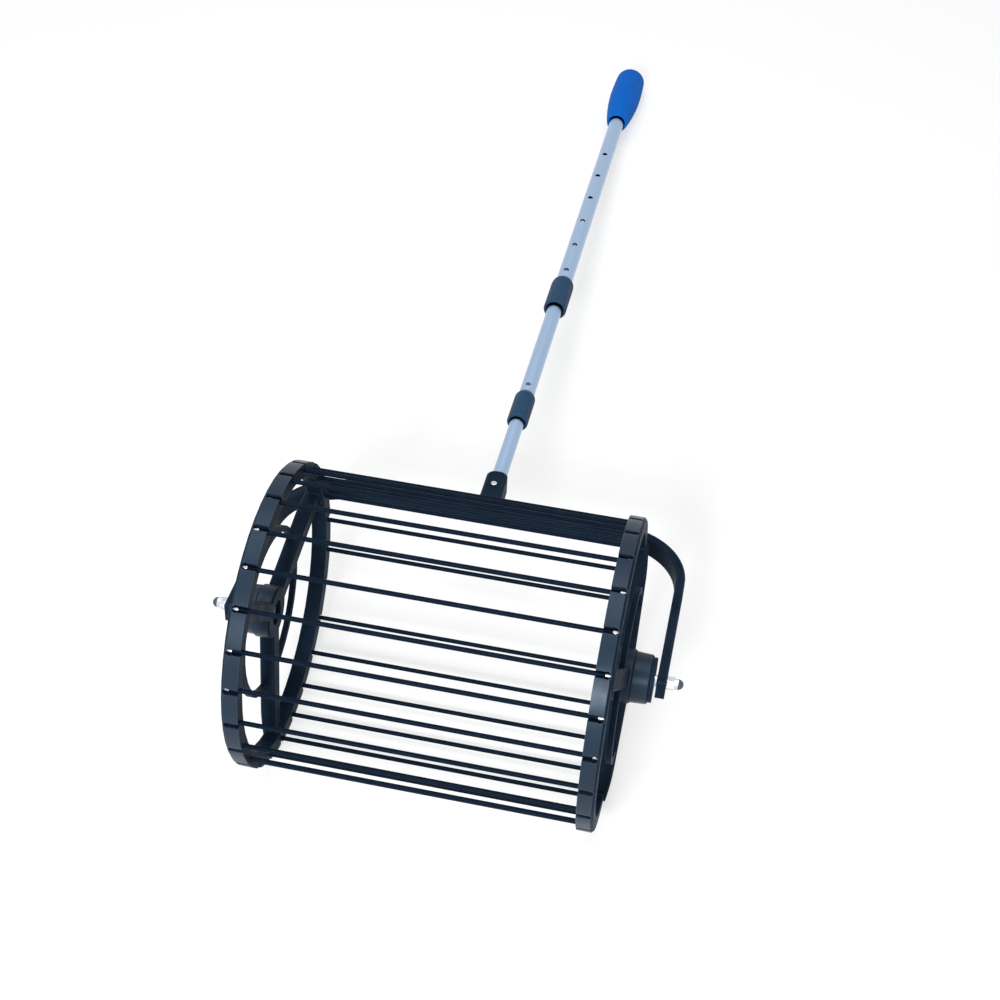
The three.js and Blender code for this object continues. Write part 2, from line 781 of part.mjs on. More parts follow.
function placed() {
  const turning = drum();
  const axleHeight = -new THREE.Box3().setFromObject(turning, true).min.z;
  const whole = new THREE.Group();
  whole.add(turning, pole(axleHeight));
  const extent = new THREE.Box3().setFromObject(whole, true);
  whole.position.set(0, -(extent.min.y + extent.max.y) / 2, axleHeight);
  whole.updateMatrixWorld(true);
  return whole;
}

export default placed();
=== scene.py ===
"""Rolling ball collector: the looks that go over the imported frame, laid out as an add-on."""

import json
import math

import bmesh
import bpy
from bpy.props import FloatProperty, FloatVectorProperty, IntProperty, PointerProperty
from mathutils import Matrix, Vector

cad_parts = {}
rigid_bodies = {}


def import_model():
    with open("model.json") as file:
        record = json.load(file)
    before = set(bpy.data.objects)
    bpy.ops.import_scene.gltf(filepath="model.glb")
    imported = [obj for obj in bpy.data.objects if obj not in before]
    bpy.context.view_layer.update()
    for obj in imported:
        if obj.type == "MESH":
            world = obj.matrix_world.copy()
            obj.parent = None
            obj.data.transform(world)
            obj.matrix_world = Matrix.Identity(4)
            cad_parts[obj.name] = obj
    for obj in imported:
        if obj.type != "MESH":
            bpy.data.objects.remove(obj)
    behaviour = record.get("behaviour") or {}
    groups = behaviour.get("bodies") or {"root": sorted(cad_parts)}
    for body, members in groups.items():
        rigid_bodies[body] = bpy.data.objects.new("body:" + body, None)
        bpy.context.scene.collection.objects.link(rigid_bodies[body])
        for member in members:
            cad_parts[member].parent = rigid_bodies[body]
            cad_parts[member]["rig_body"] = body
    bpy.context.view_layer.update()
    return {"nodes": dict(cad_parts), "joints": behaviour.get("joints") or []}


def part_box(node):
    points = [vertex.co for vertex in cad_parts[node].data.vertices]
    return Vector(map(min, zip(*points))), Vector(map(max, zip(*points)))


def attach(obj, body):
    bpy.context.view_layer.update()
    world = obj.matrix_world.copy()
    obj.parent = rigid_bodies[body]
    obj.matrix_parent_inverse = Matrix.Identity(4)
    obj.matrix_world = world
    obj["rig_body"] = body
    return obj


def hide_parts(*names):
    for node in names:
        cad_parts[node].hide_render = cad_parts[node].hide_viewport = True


bl_info = {
    "name": "Ball collector dresser",
    "version": (1, 0, 0),
    "blender": (4, 5, 0),
    "location": "3D View > Sidebar > Collector",
    "description": "Models and finishes the pieces of a rolling ball collector over its packed frame",
    "category": "Object",
}

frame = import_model()
record_joints = {joint["name"]: joint for joint in frame["joints"]}
MM = 0.001
AXLE = Vector(record_joints["drum_spin"]["pos_m"])
POLE = Vector(record_joints["pole_slide"]["axis"]).normalized()
POLE_UP = Vector((0, -POLE.z, POLE.y))
WIRES = sorted(name for name in frame["nodes"] if name.startswith("wire_"))
FACING = 0.9  # least share of a normal along an axis, for a face that looks that way
SMOOTH_BELOW = math.radians(24)  # faces of the frame's round parts meet at less than this


# Settings

class PlasticSettings(bpy.types.PropertyGroup):
    """Colours and edges of the moulded plastic parts."""
    shell_colour: FloatVectorProperty(
        name="Shell colour", description="Moulded plastic of the discs and the yoke",
        subtype="COLOR", default=(0.0048, 0.0115, 0.0230), min=0, max=1)
    shell_tint: FloatVectorProperty(
        name="Shell tint", description="Paler patches where the moulding is rubbed",
        subtype="COLOR", default=(0.0115, 0.0235, 0.0430), min=0, max=1)
    collar_colour: FloatVectorProperty(
        name="Collar colour", description="Grey-blue plastic of the two pole collars",
        subtype="COLOR", default=(0.013, 0.038, 0.080), min=0, max=1)
    collar_speck: FloatVectorProperty(
        name="Collar speck", description="Paler specks in the grained collars",
        subtype="COLOR", default=(0.032, 0.080, 0.150), min=0, max=1)
    pad_colour: FloatVectorProperty(
        name="Pad colour", description="Pads and hubs, polished by the ground and by handling",
        subtype="COLOR", default=(0.0130, 0.0230, 0.0360), min=0, max=1)
    # The paler edge colour stands partly for rubbing and partly for a painted highlight on the rounded
    # edges.
    edge_wear_and_highlight: FloatVectorProperty(
        name="Rubbed edge", description="Paler colour of the edges that handling rubs",
        subtype="COLOR", default=(0.085, 0.125, 0.180), min=0, max=1)
    edge_radius: FloatProperty(
        name="Edge radius", description="Rounding of the moulded edges",
        subtype="DISTANCE", unit="LENGTH", default=0.0007, min=0, max=0.003)
    # Reach and strength of the paler edges, which are partly rubbing and partly a painted highlight.
    edge_wear_and_highlight_radius: FloatProperty(
        name="Rub radius", description="How far from an edge the rubbing reaches",
        subtype="DISTANCE", unit="LENGTH", default=0.00112, min=0, max=0.004)
    edge_wear_and_highlight_strength: FloatProperty(
        name="Rub strength", description="How strongly the rubbed edges pale",
        default=4.0, min=0, max=8)


class WireSettings(bpy.types.PropertyGroup):
    """Sizes and colours of the sprung wires and their bright tips."""
    coating_scuff: FloatVectorProperty(
        name="Coating scuff", description="Paler scuffs along the coating",
        subtype="COLOR", default=(0.010, 0.020, 0.038), min=0, max=1)
    coating: FloatVectorProperty(
        name="Coating", description="Black coating of the wires",
        subtype="COLOR", default=(0.0026, 0.0070, 0.0160), min=0, max=1)
    radius: FloatProperty(
        name="Wire radius", description="Radius of a wire with its coating",
        subtype="DISTANCE", unit="LENGTH", default=0.0020, min=0.001, max=0.004)
    tip_radius: FloatProperty(
        name="Tip radius", description="Radius of the bright crimped tip",
        subtype="DISTANCE", unit="LENGTH", default=0.0028, min=0.001, max=0.005)
    tip_length: FloatProperty(
        name="Tip length", description="Length of the bright crimped tip",
        subtype="DISTANCE", unit="LENGTH", default=0.0046, min=0.001, max=0.008)
    sides: IntProperty(name="Sides", description="Facets round a wire", default=20, min=8, max=48)


class MetalSettings(bpy.types.PropertyGroup):
    """Colours of the bare metal parts."""
    aluminium: FloatVectorProperty(
        name="Aluminium", description="Satin anodised pole tubes",
        subtype="COLOR", default=(0.305, 0.425, 0.605), min=0, max=1)
    steel: FloatVectorProperty(
        name="Steel", description="Bright plated screws, nuts and tips",
        subtype="COLOR", default=(0.58, 0.62, 0.68), min=0, max=1)
    tip_steel: FloatVectorProperty(
        name="Tip steel", description="Dull crimped tips of the wires",
        subtype="COLOR", default=(0.28, 0.30, 0.33), min=0, max=1)
    button_steel: FloatVectorProperty(
        name="Button steel", description="Polished snap button",
        subtype="COLOR", default=(0.80, 0.83, 0.87), min=0, max=1)
    # Painted shade: this near-black colour is laid where the tubes sit in holes, round the button and
    # close under other pieces, for the shade that falls there.
    painted_crevice_shade: FloatVectorProperty(
        name="Grime", description="Oily dirt in the pole's holes and round its button",
        subtype="COLOR", default=(0.006, 0.008, 0.012), min=0, max=1)
    dark_steel: FloatVectorProperty(
        name="Dark steel", description="Blackened pin and nut ends",
        subtype="COLOR", default=(0.085, 0.095, 0.115), min=0, max=1)


class GripSettings(bpy.types.PropertyGroup):
    """Sizes and colour of the foam grip, measured along the pole from the axle."""
    foam: FloatVectorProperty(
        name="Foam", description="Blue closed-cell foam",
        subtype="COLOR", default=(0.0012, 0.150, 0.620), min=0, max=1)
    foam_shade: FloatVectorProperty(
        name="Foam shade", description="Deeper blue in the foam's hollows",
        subtype="COLOR", default=(0.0010, 0.105, 0.480), min=0, max=1)
    start: FloatProperty(
        name="Start", description="Mouth of the grip",
        subtype="DISTANCE", unit="LENGTH", default=0.947)
    belly: FloatProperty(
        name="Belly", description="Thickest place of the grip",
        subtype="DISTANCE", unit="LENGTH", default=1.022)
    end: FloatProperty(
        name="End", description="Rounded end of the grip",
        subtype="DISTANCE", unit="LENGTH", default=1.072)
    mouth_radius: FloatProperty(
        name="Mouth radius", description="Radius at the mouth",
        subtype="DISTANCE", unit="LENGTH", default=0.0123)
    belly_radius: FloatProperty(
        name="Belly radius", description="Radius at the belly",
        subtype="DISTANCE", unit="LENGTH", default=0.0192)
    tail_radius: FloatProperty(
        name="Tail radius", description="Radius before the end rounds over",
        subtype="DISTANCE", unit="LENGTH", default=0.0181)
    end_rounding: FloatProperty(
        name="End rounding", description="Radius of the rounded end",
        subtype="DISTANCE", unit="LENGTH", default=0.0092)
    bore_radius: FloatProperty(
        name="Bore radius", description="Radius of the bore that takes the tube",
        subtype="DISTANCE", unit="LENGTH", default=0.0091)
    bore_flare: FloatProperty(
        name="Bore flare", description="Widening of the bore at its mouth",
        subtype="DISTANCE", unit="LENGTH", default=0.0012)
    bore_end: FloatProperty(
        name="Bore end", description="Blind end of the bore",
        subtype="DISTANCE", unit="LENGTH", default=1.0581)


class StageSettings(bpy.types.PropertyGroup):
    """Camera, floor and lamps."""
    floor_colour: FloatVectorProperty(
        name="Floor colour", description="Plain pale floor",
        subtype="COLOR", default=(0.86, 0.86, 0.86), min=0, max=1)
    floor_size: FloatProperty(
        name="Floor size", description="Side of the square floor",
        subtype="DISTANCE", unit="LENGTH", default=24.0)
    floor_glow: FloatProperty(
        name="Floor glow", description="Plain white that the floor shows where it is looked at",
        default=1.10)
    floor_share: FloatProperty(
        name="Floor share", description="How much of that white covers the floor's shading",
        default=0.60)
    floor_fade: FloatProperty(
        name="Floor fade", description="Distance at which the floor has faded into the white",
        subtype="DISTANCE", unit="LENGTH", default=3.6)
    lens: FloatProperty(
        name="Lens", description="Focal length on the camera's sensor",
        subtype="DISTANCE_CAMERA", default=61.52)
    sensor_width: FloatProperty(
        name="Sensor width", description="Width of the camera's sensor",
        subtype="DISTANCE_CAMERA", default=36.0)
    clip_end: FloatProperty(
        name="Clip end", description="How far the camera sees",
        subtype="DISTANCE", unit="LENGTH", default=60.0)
    top_power: FloatProperty(
        name="Top power", description="Wide soft lamp overhead", unit="POWER", default=43.0)
    top_size: FloatProperty(
        name="Top size", description="Width of the lamp overhead",
        subtype="DISTANCE", unit="LENGTH", default=2.2)
    front_power: FloatProperty(
        name="Front power", description="Soft lamp in front of the drum",
        unit="POWER", default=74.0)
    front_size: FloatProperty(
        name="Front size", description="Width of the lamp in front",
        subtype="DISTANCE", unit="LENGTH", default=0.6)
    sky_colour: FloatVectorProperty(
        name="Sky colour", description="Colour of the even light",
        subtype="COLOR", default=(0.93, 0.97, 1.0), min=0, max=1)
    sky_strength: FloatProperty(
        name="Sky strength", description="Even light from all round", default=0.28)


# Selection and mesh helpers

def deselect_all():
    """Leaves edit mode, and then selects nothing."""
    if bpy.context.object and bpy.context.object.mode != "OBJECT":
        bpy.ops.object.mode_set(mode="OBJECT")
    bpy.ops.object.select_all(action="DESELECT")


def select_only(piece):
    """Selects one piece and makes it the active one."""
    deselect_all()
    piece.select_set(True)
    bpy.context.view_layer.objects.active = piece


def select_faces(piece, wanted):
    """Selects the faces for which wanted(centre, normal) holds; the piece stays in edit mode."""
    bpy.ops.mesh.select_mode(type="FACE")
    mesh = bmesh.from_edit_mesh(piece.data)
    for face in mesh.faces:
        face.select = bool(wanted(face.calc_center_median(), face.normal))
    mesh.select_flush_mode()
    bmesh.update_edit_mesh(piece.data)


def smooth(piece, angle):
    """Shades smooth where faces meet at less than the angle."""
    select_only(piece)
    bpy.ops.object.shade_smooth_by_angle(angle=angle)


def extrude_along(distance):
    """Extrudes the selected faces along local Z."""
    bpy.ops.mesh.extrude_region_move(TRANSFORM_OT_translate={"value": (0, 0, distance)})


def resize_across(share, place):
    """Scales the selected faces across local Z, about a place on it."""
    bpy.ops.transform.resize(value=(share, share, 1), center_override=(0, 0, place))


def apply_modifier(piece, kind, **settings):
    """Adds a modifier with its settings and applies it."""
    select_only(piece)
    modifier = piece.modifiers.new(kind.title(), kind)
    for key, value in settings.items():
        setattr(modifier, key, value)
    bpy.ops.object.modifier_apply(modifier=modifier.name)


def settle(piece, matrix):
    """Moves a finished mesh to its place and leaves its object at the origin."""
    select_only(piece)
    piece.matrix_world = matrix
    bpy.context.view_layer.update()
    bpy.ops.object.transform_apply(location=True, rotation=True, scale=True)


def finish_piece(piece, name, body, slot, material, *nodes):
    """Names a piece, gives it its finish and its body, and hides the nodes that it stands for."""
    piece.name = name
    piece.data.name = name
    piece.data.materials.clear()
    piece.data.materials.append(material)
    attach(piece, body)
    if nodes:
        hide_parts(*nodes)
    return piece


def join_pieces(pieces):
    """Joins pieces into the first of them."""
    deselect_all()
    for piece in pieces:
        piece.select_set(True)
    bpy.context.view_layer.objects.active = pieces[0]
    bpy.ops.object.join()
    return pieces[0]


def merged_copy(node):
    """A copy of a node's mesh with its corners joined, so that it can be smoothed."""
    piece = bpy.data.objects.new("copy_of_" + node, frame["nodes"][node].data.copy())
    bpy.context.scene.collection.objects.link(piece)
    select_only(piece)
    if piece.data.has_custom_normals:
        bpy.ops.mesh.customdata_custom_splitnormals_clear()
    bpy.ops.object.mode_set(mode="EDIT")
    bpy.ops.mesh.select_all(action="SELECT")
    bpy.ops.mesh.remove_doubles(threshold=0.005 * MM)
    bpy.ops.mesh.dissolve_limited(angle_limit=math.radians(0.4))
    bpy.ops.object.mode_set(mode="OBJECT")
    return piece


def dress_node(node, name, slot, material, angle=SMOOTH_BELOW):
    """A smoothed copy of a node in its new finish, on the node's own body."""
    piece = merged_copy(node)
    smooth(piece, angle)
    return finish_piece(piece, name, frame["nodes"][node]["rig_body"], slot, material, node)


def own_copy(piece):
    """A copy of a piece with its own mesh."""
    copy = piece.copy()
    copy.data = piece.data.copy()
    bpy.context.scene.collection.objects.link(copy)
    return copy


def pole_matrix():
    """Turns local +Z to the pole's direction and local +Y to its upper side, from the axle."""
    turn = Matrix((POLE_UP.cross(POLE), POLE_UP, POLE)).transposed().to_4x4()
    return Matrix.Translation(AXLE) @ turn


def upward_matrix(place):
    """Turns local +Z to the pole's upper side, at a place along the pole."""
    side = Vector((1, 0, 0))
    turn = Matrix((side, POLE_UP.cross(side), POLE_UP)).transposed().to_4x4()
    return Matrix.Translation(AXLE + POLE * place) @ turn


def across_matrix(node, side):
    """Turns local +Z along the axle, to the right for 1 or the left for -1, at a node's middle."""
    return Matrix.Translation(node_middle(node)) @ Matrix.Rotation(math.radians(90 * side), 4, "Y")


def node_middle(node):
    """The middle of a node's box."""
    low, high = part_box(node)
    return (low + high) / 2


def add_round_blank(radius, depth, sides, low):
    """A plain round blank along Z, from a lowest place, to be shaped further."""
    deselect_all()
    bpy.ops.mesh.primitive_cylinder_add(
        vertices=sides, radius=radius, depth=depth, location=(0, 0, low + depth / 2))
    bpy.ops.object.transform_apply(location=True, rotation=True, scale=True)
    return bpy.context.object


# Material helpers

class Finish:
    """A node material, with short calls for the nodes that the finishes here share."""

    def __init__(self, name):
        self.material = bpy.data.materials.new(name)
        self.material.use_nodes = True
        self.tree = self.material.node_tree
        self.shader = self.tree.nodes["Principled BSDF"]
        self.place = self.add("ShaderNodeTexCoord").outputs["Object"]

    def add(self, kind, **settings):
        """Adds a node and sets its own settings."""
        node = self.tree.nodes.new(kind)
        for key, value in settings.items():
            setattr(node, key, value)
        return node

    def link(self, source, target):
        """Links an output to an input."""
        self.tree.links.new(source, target)

    def set(self, **values):
        """Sets sockets of the shader, named with underscores for spaces."""
        for key, value in values.items():
            self.shader.inputs[key.replace("_", " ")].default_value = value

    def mapped(self, scale, rotation=(0, 0, 0)):
        """Object coordinates, turned and scaled."""
        node = self.add("ShaderNodeMapping")
        node.inputs["Scale"].default_value = scale
        node.inputs["Rotation"].default_value = rotation
        self.link(self.place, node.inputs["Vector"])
        return node.outputs["Vector"]

    def noise(self, scale, detail=2.0, roughness=0.5, vector=None):
        """Cloudy noise over object coordinates, or over another vector."""
        node = self.add("ShaderNodeTexNoise")
        node.inputs["Scale"].default_value = scale
        node.inputs["Detail"].default_value = detail
        node.inputs["Roughness"].default_value = roughness
        self.link(vector or self.place, node.inputs["Vector"])
        return node.outputs["Fac"]

    def cells(self, scale):
        """Distance from the middles of small cells."""
        node = self.add("ShaderNodeTexVoronoi")
        node.inputs["Scale"].default_value = scale
        self.link(self.place, node.inputs["Vector"])
        return node.outputs["Distance"]

    def ramp(self, fac, *stops):
        """A ramp between (place, value or colour) stops."""
        node = self.add("ShaderNodeValToRGB")
        band = node.color_ramp
        while len(band.elements) < len(stops):
            band.elements.new(1.0)
        for element, (place, value) in zip(band.elements, stops):
            element.position = place
            element.color = (*value, 1) if hasattr(value, "__len__") else (value, value, value, 1)
        self.link(fac, node.inputs["Fac"])
        return node.outputs["Color"]

    def calc(self, operation, first, second):
        """A Math node between numbers or sockets."""
        node = self.add("ShaderNodeMath", operation=operation)
        for socket, value in zip(node.inputs, (first, second)):
            if isinstance(value, (int, float)):
                socket.default_value = value
            else:
                self.link(value, socket)
        return node.outputs["Value"]

    def mix(self, fac, first, second):
        """Mixes two colours or colour sockets."""
        node = self.add("ShaderNodeMix", data_type="RGBA")
        self.link(fac, node.inputs["Factor"])
        for index, value in ((6, first), (7, second)):
            if isinstance(value, bpy.types.NodeSocket):
                self.link(value, node.inputs[index])
            else:
                node.inputs[index].default_value = (*value, 1)
        return node.outputs[2]

    def bump(self, height, strength, distance, radius=0.0):
        """Bump over the rounded edges that a bevel radius gives."""
        node = self.add("ShaderNodeBump")
        node.inputs["Strength"].default_value = strength
        node.inputs["Distance"].default_value = distance
        self.link(height, node.inputs["Height"])
        if radius:
            self.link(self.rounded(radius), node.inputs["Normal"])
        self.link(node.outputs["Normal"], self.shader.inputs["Normal"])

    def rounded(self, radius):
        """The surface's normal with its edges rounded over."""
        node = self.add("ShaderNodeBevel", samples=6)
        node.inputs["Radius"].default_value = radius
        return node.outputs["Normal"]

    def openness(self, reach):
        """1 in the open, less in a hole or close under another piece."""
        node = self.add("ShaderNodeAmbientOcclusion", samples=8)
        node.inputs["Distance"].default_value = reach
        return node.outputs["AO"]

    def edges(self, radius):
        """1 on the outer edges, which handling rubs and which get a painted highlight, 0 on the flats.
        """
        flat = self.add("ShaderNodeNewGeometry").outputs["True Normal"]
        node = self.add("ShaderNodeVectorMath", operation="DOT_PRODUCT")
        self.link(self.rounded(radius), node.inputs[0])
        self.link(flat, node.inputs[1])
        return self.calc("SUBTRACT", 1.0, node.outputs["Value"])


def scene_settings(name):
    """One of the scene's groups of settings."""
    return getattr(bpy.context.scene, name)


def kept(make):
    """The material that is named after its function, made on its first use."""
    name = make.__name__
    return bpy.data.materials.get(name) or make(name)


def shell_plastic(name, dark, pale, smoothest, roughest, gloss):
    """Injection-moulded plastic: clouded in patches, fine grain, edges a little paler, partly as
    rubbing and partly as a painted highlight where they catch the light.
    """
    look = scene_settings("collector_plastic")
    finish = Finish(name)
    patches = finish.noise(22.0, detail=4.0, roughness=0.62)
    colour = finish.ramp(patches, (0.34, dark), (0.72, pale))
    scratches = finish.noise(240.0, detail=3.0, roughness=0.7)
    # Edges paled partly as rubbing and partly as a painted highlight where the rounded edges catch the
    # light.
    edge_wear_and_highlight_mask = finish.calc("MULTIPLY", finish.edges(look.edge_wear_and_highlight_radius), scratches)
    edge_wear_and_highlight_mask = finish.calc("MULTIPLY", edge_wear_and_highlight_mask, look.edge_wear_and_highlight_strength)
    finish.link(finish.mix(edge_wear_and_highlight_mask, colour, look.edge_wear_and_highlight), finish.shader.inputs["Base Color"])
    grain = finish.noise(1500.0, detail=3.0, roughness=0.6)
    worn = finish.ramp(finish.noise(60.0, detail=3.0), (0.3, smoothest), (0.75, roughest))
    finish.link(worn, finish.shader.inputs["Roughness"])
    # Painted reflection: the blue specular tint stands in for a blue sky seen in the plastic.
    finish.set(Specular_IOR_Level=gloss, Specular_Tint=(0.72, 0.86, 1.0, 1))
    finish.bump(grain, strength=0.16, distance=0.25 * MM, radius=look.edge_radius)
    return finish.material


def moulded_shell(name):
    """Black plastic, navy in its patches."""
    look = scene_settings("collector_plastic")
    return shell_plastic(name, look.shell_colour, look.shell_tint,
                         smoothest=0.42, roughest=0.56, gloss=0.025)


def polished_pads(name):
    """The same plastic, greyer and glossier where the ground and the hand polish it."""
    look = scene_settings("collector_plastic")
    return shell_plastic(name, look.shell_tint, look.pad_colour,
                         smoothest=0.30, roughest=0.42, gloss=0.16)


def grained_collar(name):
    """Grey-blue plastic with a coarse spark-eroded grain."""
    look = scene_settings("collector_plastic")
    finish = Finish(name)
    specks = finish.noise(850.0, detail=3.0, roughness=0.75)
    colour = finish.ramp(specks, (0.38, look.collar_colour), (0.70, look.collar_speck))
    finish.link(colour, finish.shader.inputs["Base Color"])
    finish.link(finish.ramp(specks, (0.3, 0.62), (0.7, 0.46)), finish.shader.inputs["Roughness"])
    # Painted reflection: the blue specular tint stands in for a blue sky seen in the collars.
    finish.set(Specular_IOR_Level=0.09, Specular_Tint=(0.70, 0.85, 1.0, 1))
    finish.bump(specks, strength=0.35, distance=0.35 * MM, radius=look.edge_radius)
    return finish.material


def wire_coating(name):
    """Black coated spring wire with faint scuffs along it."""
    look = scene_settings("collector_wires")
    finish = Finish(name)
    along_wire = finish.mapped((90.0, 900.0, 900.0))
    scuffs = finish.noise(1.0, detail=4.0, roughness=0.7, vector=along_wire)
    colour = finish.ramp(scuffs, (0.50, look.coating), (0.85, look.coating_scuff))
    finish.link(colour, finish.shader.inputs["Base Color"])
    finish.link(finish.ramp(scuffs, (0.35, 0.34), (0.75, 0.52)), finish.shader.inputs["Roughness"])
    # Painted reflection: the blue specular tint stands in for a blue sky seen in the coating.
    finish.set(Specular_IOR_Level=0.03, Specular_Tint=(0.55, 0.78, 1.0, 1))
    finish.bump(finish.noise(700.0), strength=0.06, distance=0.2 * MM)
    return finish.material


def drawn_aluminium(name):
    """Anodised tube: drawn along its length, cool and softly reflecting."""
    look = scene_settings("collector_metal")
    finish = Finish(name)
    lean = math.atan2(-POLE.z, POLE.y)
    along_pole = finish.mapped((2200.0, 14.0, 2200.0), (lean, 0, 0))
    drawn = finish.noise(1.0, detail=5.0, roughness=0.6, vector=along_pole)
    haze = finish.noise(16.0, detail=3.0)
    # Painted shade: near black where the ambient occlusion finds the tube in its holes, round the
    # button and close to the collars.
    colour_with_painted_shade = finish.ramp(finish.openness(5 * MM), (0.92, look.painted_crevice_shade), (0.995, look.aluminium))
    finish.link(colour_with_painted_shade, finish.shader.inputs["Base Color"])
    finish.set(Metallic=1.0, Coat_Weight=0.5, Coat_Roughness=0.22)
    drawn_part = finish.calc("MULTIPLY", drawn, 0.16)
    haze_part = finish.calc("MULTIPLY", haze, 0.10)
    rough = finish.calc("ADD", finish.calc("ADD", drawn_part, haze_part), 0.30)
    finish.link(rough, finish.shader.inputs["Roughness"])
    finish.bump(drawn, strength=0.05, distance=0.1 * MM, radius=0.25 * MM)
    return finish.material


def plated_steel(name, colour, smoothest, roughest, metallic=1.0):
    """Plated or blackened steel, its polish clouded a little."""
    finish = Finish(name)
    cloud = finish.noise(460.0, detail=4.0, roughness=0.67)
    worn = finish.ramp(cloud, (0.3, smoothest), (0.75, roughest))
    finish.set(Base_Color=(*colour, 1), Metallic=metallic)
    finish.link(worn, finish.shader.inputs["Roughness"])
    finish.bump(cloud, strength=0.06, distance=0.12 * MM, radius=0.3 * MM)
    return finish.material


def zinc_plate(name):
    """Bright plating of nuts, bolts, washers and the screw."""
    colour = scene_settings("collector_metal").steel
    return plated_steel(name, colour, smoothest=0.16, roughest=0.34)


def tip_steel(name):
    """Duller steel of the wires' crimped tips."""
    colour = scene_settings("collector_metal").tip_steel
    return plated_steel(name, colour, smoothest=0.24, roughest=0.40)


def button_steel(name):
    """Polished dome, with painted shade at its foot where it slides in its hole."""
    look = scene_settings("collector_metal")
    finish = Finish(name)
    # Painted shade: near black at the dome's foot, where its hole closes round it.
    colour_with_painted_shade = finish.ramp(finish.openness(3 * MM), (0.60, look.painted_crevice_shade), (0.90, look.button_steel))
    finish.link(colour_with_painted_shade, finish.shader.inputs["Base Color"])
    cloud = finish.noise(460.0, detail=4.0, roughness=0.67)
    worn = finish.ramp(cloud, (0.3, 0.08), (0.75, 0.16))
    finish.link(worn, finish.shader.inputs["Roughness"])
    finish.set(Metallic=1.0)
    return finish.material


def blackened_steel(name):
    """Dark finish of the lock pin and of the cap nuts' domes."""
    colour = scene_settings("collector_metal").dark_steel
    return plated_steel(name, colour, smoothest=0.38, roughest=0.58, metallic=0.85)


def foam_skin(name):
    """Blue closed-cell foam: tiny cells, a soft sheen and a deeper blue in its hollows."""
    look = scene_settings("collector_grip")
    finish = Finish(name)
    cell = finish.cells(1150.0)
    blotch = finish.noise(90.0, detail=4.0, roughness=0.7)
    cell_part = finish.calc("MULTIPLY", cell, 0.9)
    tone = finish.calc("ADD", cell_part, finish.calc("MULTIPLY", blotch, 0.5))
    blue = finish.ramp(tone, (0.25, look.foam), (0.85, look.foam_shade))
    finish.link(blue, finish.shader.inputs["Base Color"])
    finish.link(finish.ramp(blotch, (0.3, 0.78), (0.7, 0.92)), finish.shader.inputs["Roughness"])
    finish.set(Sheen_Weight=0.06, Sheen_Roughness=0.5, Specular_IOR_Level=0.10)
    finish.set(Sheen_Tint=(0.35, 0.65, 1.0, 1))
    finish.bump(finish.calc("SUBTRACT", blotch, cell), strength=0.35, distance=0.35 * MM)
    return finish.material


# Drum

def wire_blank():
    """One coated wire along Z, with a narrower stub at each end that enters its tip."""
    look = scene_settings("collector_wires")
    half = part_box(WIRES[0])[1].x - look.tip_length
    coating_thickness, stub_length = 0.25 * MM, 0.3 * MM
    rod = add_round_blank(look.radius, 2 * half, look.sides, -half)
    bpy.ops.object.mode_set(mode="EDIT")
    for end in (1, -1):
        select_faces(rod, lambda centre, normal: normal.z * end > FACING)
        bpy.ops.mesh.inset(thickness=coating_thickness, depth=0)
        extrude_along(stub_length * end)
    bpy.ops.object.mode_set(mode="OBJECT")
    return rod


def tip_blank():
    """The crimped tip along Z: a short turned button, rounded outside, with a centre mark."""
    look = scene_settings("collector_wires")
    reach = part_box(WIRES[0])[1].x
    rim, mark_edge, rounding = (share * look.tip_radius for share in (0.45, 0.12, 0.28))
    mark_depth, inner_rim = 0.25 * MM, 0.1 * MM
    tip = add_round_blank(look.tip_radius, look.tip_length, look.sides, reach - look.tip_length)
    bpy.ops.object.mode_set(mode="EDIT")
    select_faces(tip, lambda centre, normal: normal.z > FACING)
    bpy.ops.mesh.inset(thickness=rim, depth=0)
    bpy.ops.mesh.inset(thickness=mark_edge, depth=-mark_depth)
    inner_half = reach - look.tip_length / 2
    select_faces(tip, lambda centre, normal: abs(normal.z) > FACING and centre.length < inner_half)
    bpy.ops.mesh.inset(thickness=inner_rim, depth=0)
    bpy.ops.object.mode_set(mode="OBJECT")
    apply_modifier(tip, "BEVEL", width=rounding, segments=3, angle_limit=math.radians(60))
    return tip


def make_wires():
    """Every wire is a piece of its own, and the tips at each side of the drum are one piece."""
    black, dull = kept(wire_coating), kept(tip_steel)
    rod, tip = wire_blank(), tip_blank()
    smooth(rod, angle=math.radians(32))
    smooth(tip, angle=math.radians(50))
    for node in WIRES:
        wire = own_copy(rod)
        settle(wire, across_matrix(node, 1))
        finish_piece(wire, node.replace("wire", "sprung_wire"), "drum", "coated_wire", black, node)
    for name, side in (("right_wire_tips", 1), ("left_wire_tips", -1)):
        copies = []
        for node in WIRES:
            copies.append(own_copy(tip))
            settle(copies[-1], across_matrix(node, side))
        finish_piece(join_pieces(copies), name, "drum", "bright_steel", dull)
    for blank in (rod, tip):
        bpy.data.objects.remove(blank)


def polish_pads(disc, reach):
    """Gives the pads round the rim and the hub's outside the second finish of the disc."""
    pad_floor, hub_reach, outward = 0.97 * reach, 0.20 * reach, 0.8
    for face in disc.data.polygons:
        arm = Vector((0, face.center.y - AXLE.y, face.center.z - AXLE.z))
        worn = not hub_reach <= arm.length <= pad_floor
        face.material_index = int(worn and face.normal.dot(arm.normalized()) > outward)


def make_end_discs():
    """The frame's discs, smoothed, with a second finish on their pads and hubs."""
    shell, pads = kept(moulded_shell), kept(polished_pads)
    for side in ("right", "left"):
        node = side + "_end_disc"
        disc = dress_node(node, side + "_spoked_disc", "black_plastic", shell)
        disc.data.materials.append(pads)
        polish_pads(disc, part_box(node)[1].z - AXLE.z)


# Yoke and its fasteners

def make_yoke():
    """The frame's yoke, smoothed, in the moulded plastic."""
    dress_node("yoke", "u_yoke", "black_plastic", kept(moulded_shell))


